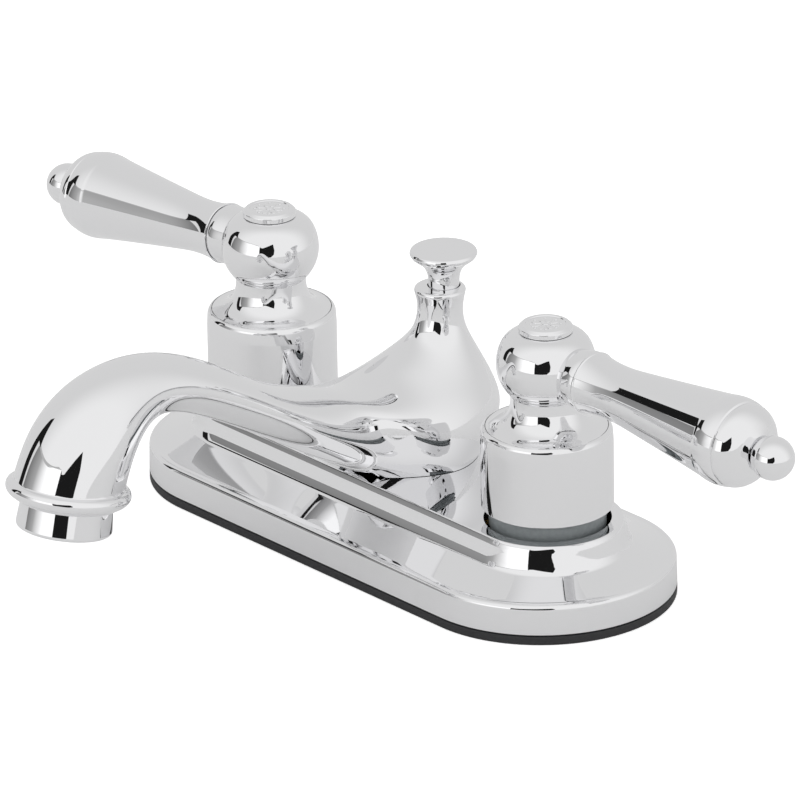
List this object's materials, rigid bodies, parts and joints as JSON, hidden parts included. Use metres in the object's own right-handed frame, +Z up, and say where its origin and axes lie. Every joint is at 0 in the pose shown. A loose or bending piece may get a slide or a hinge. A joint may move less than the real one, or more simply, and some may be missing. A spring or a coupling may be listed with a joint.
{
  "type": "centerset bathroom faucet",
  "caption": "Chrome centerset basin faucet: lever handles on skirted ceramic disc valves, an arched teapot spout with aerator and a lift rod, on one deck plate with threaded shanks below.",
  "frame": {"origin": "centre of the gasket's underside, on the sink deck midway between the two handles' axes", "axes": "+X to the cold handle on the user's right, -Y towards the user along the spout, +Z up out of the deck"},
  "size_m": [0.2585, 0.153, 0.1209],
  "materials": {
    "chrome_plate": "bright mirror chrome plate over cast zinc or brass",
    "cast_brass": "as cast and turned",
    "stainless_steel": "plain drawn",
    "black_rubber": "moulded, matt",
    "grey_plastic": "moulded, satin",
    "white_plastic": "moulded, satin",
    "white_ceramic": "lapped"
  },
  "bodies": {
    "faucet": {"aerator_screen": "grey_plastic", "aerator_shell": "chrome_plate", "aerator_washer": "black_rubber", "base_gasket": "black_rubber", "deck_plate": "chrome_plate", "left_bonnet_nut": "cast_brass", "left_fixed_disc": "white_ceramic", "left_mounting_nut": "white_plastic", "left_mounting_washer": "stainless_steel", "left_seat_seal": "black_rubber", "left_shank": "cast_brass", "left_skirt": "chrome_plate", "left_skirt_ring": "grey_plastic", "left_stem_o_ring": "black_rubber", "left_valve_housing": "cast_brass", "right_bonnet_nut": "cast_brass", "right_fixed_disc": "white_ceramic", "right_mounting_nut": "white_plastic", "right_mounting_washer": "stainless_steel", "right_seat_seal": "black_rubber", "right_shank": "cast_brass", "right_skirt": "chrome_plate", "right_skirt_ring": "grey_plastic", "right_stem_o_ring": "black_rubber", "right_valve_housing": "cast_brass", "spout_body": "chrome_plate", "spout_screw": "stainless_steel", "spout_seal": "black_rubber", "waterway_body": "cast_brass"},
    "left_handle": {"left_handle_hub": "chrome_plate", "left_handle_screw": "stainless_steel", "left_index_cap": "chrome_plate", "left_lever": "chrome_plate", "left_moving_disc": "white_ceramic", "left_stem": "cast_brass"},
    "right_handle": {"right_handle_hub": "chrome_plate", "right_handle_screw": "stainless_steel", "right_index_cap": "chrome_plate", "right_lever": "chrome_plate", "right_moving_disc": "white_ceramic", "right_stem": "cast_brass"},
    "lift_rod": {"lift_knob": "chrome_plate", "lift_rod": "stainless_steel"}
  },
  "joints": [
    {"name": "left_handle_turn", "type": "hinge", "parent": "faucet", "child": "left_handle", "pos_m": [-0.0508, 0, 0], "axis": [0, 0, 1], "range_deg": [0, 90]},
    {"name": "right_handle_turn", "type": "hinge", "parent": "faucet", "child": "right_handle", "pos_m": [0.0508, 0, 0], "axis": [0, 0, 1], "range_deg": [-90, 0]},
    {"name": "lift_rod_slide", "type": "slide", "parent": "faucet", "child": "lift_rod", "axis": [0, 0, 1], "range_m": [0, 0.018]}
  ]
}
